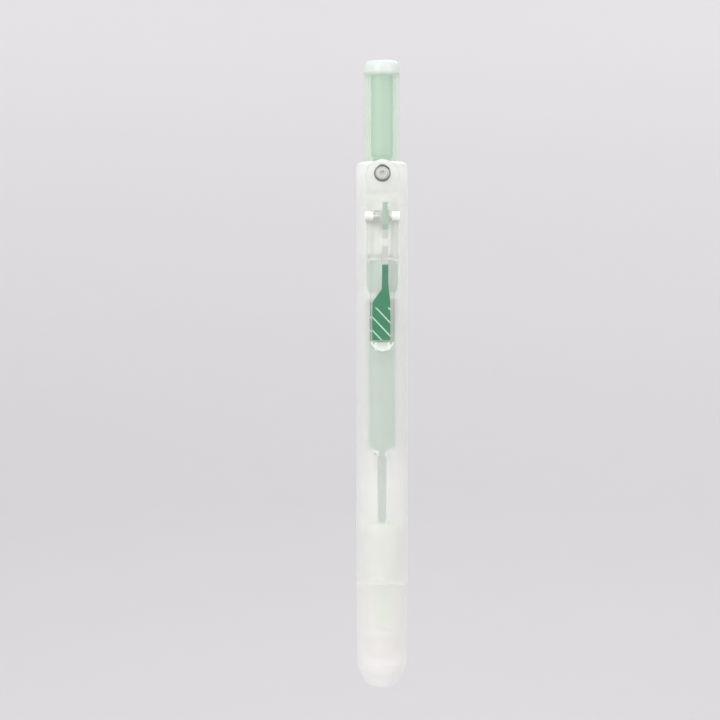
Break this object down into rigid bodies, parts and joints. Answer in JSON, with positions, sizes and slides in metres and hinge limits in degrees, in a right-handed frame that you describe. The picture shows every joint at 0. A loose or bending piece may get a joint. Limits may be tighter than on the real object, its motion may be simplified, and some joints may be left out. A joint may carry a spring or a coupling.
{
  "type": "retractable highlighter",
  "caption": "Slim retractable highlighter with a frosted barrel, long push button, sprung clip, click cam, ink refill, chisel nib and flaps that shut the nose.",
  "frame": {"origin": "centre of the bounding box's underside, level with the nose; the pen's own axis stands 2.225 mm behind it in +Y, because the clip stands out in front", "axes": "+Z along the pen from the nose to the button, the clip faces -Y, +X is to the right seen from the clip's side"},
  "size_m": [0.0116, 0.016, 0.14],
  "materials": {
    "frosted_clear": "colourless, frosted, translucent",
    "milky_white": "whiter, frosted, translucent",
    "guide_clear": "natural plastic",
    "seal_rubber": "soft, matt",
    "spring_steel": "drawn wire",
    "coil_steel": "drawn wire",
    "pin_steel": "plain pin",
    "button_clear": "translucent, slightly frosted",
    "pale_green": "pale green plastic",
    "grey_green": "natural plastic, faint green",
    "plug_white": "natural plastic",
    "tank_clear": "clear",
    "ink_green": "pale green ink",
    "holder_milky": "translucent",
    "ring_rubber": "soft, matt",
    "wick_green": "wetted fibre rod",
    "nib_felt": "fluorescent green felt",
    "mid_green": "green plastic",
    "clip_clear": "clear, polished",
    "inlay_green": "dark green print with pale lines",
    "flap_rubber": "soft, matt"
  },
  "bodies": {
    "root": {"barrel": "frosted_clear", "front_section": "milky_white", "cam_guide": "guide_clear", "seal_carrier": "seal_rubber", "return_spring": "spring_steel", "clip_spring": "coil_steel", "clip_pin": "pin_steel"},
    "button": {"button_sleeve": "button_clear", "button_core": "pale_green", "thrust_cam": "grey_green"},
    "refill": {"tail_plug": "plug_white", "ink_tank": "tank_clear", "ink_fill": "ink_green", "nib_holder": "holder_milky", "holder_seal": "ring_rubber", "ink_wick": "wick_green", "nib": "nib_felt"},
    "rotor": {"cam_rotor": "mid_green"},
    "clip": {"clip": "clip_clear", "clip_inlay": "inlay_green"},
    "shutter_left": {"shutter_left": "flap_rubber"},
    "shutter_right": {"shutter_right": "flap_rubber"}
  },
  "joints": [
    {"name": "button_press", "type": "slide", "parent": "root", "child": "button", "axis": [0, 0, -1], "range_m": [0, 0.016], "stiffness_N_per_m": 100, "springref_m": -0.015, "deforming": ["return_spring"]},
    {"name": "refill_slide", "type": "slide", "parent": "root", "child": "refill", "axis": [0, 0, -1], "range_m": [0, 0.016]},
    {"name": "rotor_turn", "type": "hinge", "parent": "refill", "child": "rotor", "pos_m": [0, 0.00222, 0.092], "axis": [0, 0, -1], "range_deg": [0, 22.5]},
    {"name": "clip_open", "type": "hinge", "parent": "root", "child": "clip", "pos_m": [0, -0.00507, 0.1048], "axis": [-1, 0, 0], "range_deg": [0, 10], "stiffness_Nm_per_rad": 0.135, "springref_deg": -6.88, "deforming": ["clip_spring"]},
    {"name": "shutter_left_swing", "type": "hinge", "parent": "root", "child": "shutter_left", "pos_m": [-0.0027, 0.00222, 0.0065], "axis": [0, 1, 0], "range_deg": [0, 90]},
    {"name": "shutter_right_swing", "type": "hinge", "parent": "root", "child": "shutter_right", "pos_m": [0.0027, 0.00222, 0.0065], "axis": [0, -1, 0], "range_deg": [0, 90]}
  ],
  "couplings": [
    {"joint": "refill_slide", "follows": "button_press", "ratio": 1},
    {"joint": "rotor_turn", "follows": "button_press", "rad_per_m": 24.54},
    {"joint": "shutter_left_swing", "follows": "button_press", "rad_per_m": 98.17},
    {"joint": "shutter_right_swing", "follows": "button_press", "rad_per_m": 98.17}
  ]
}
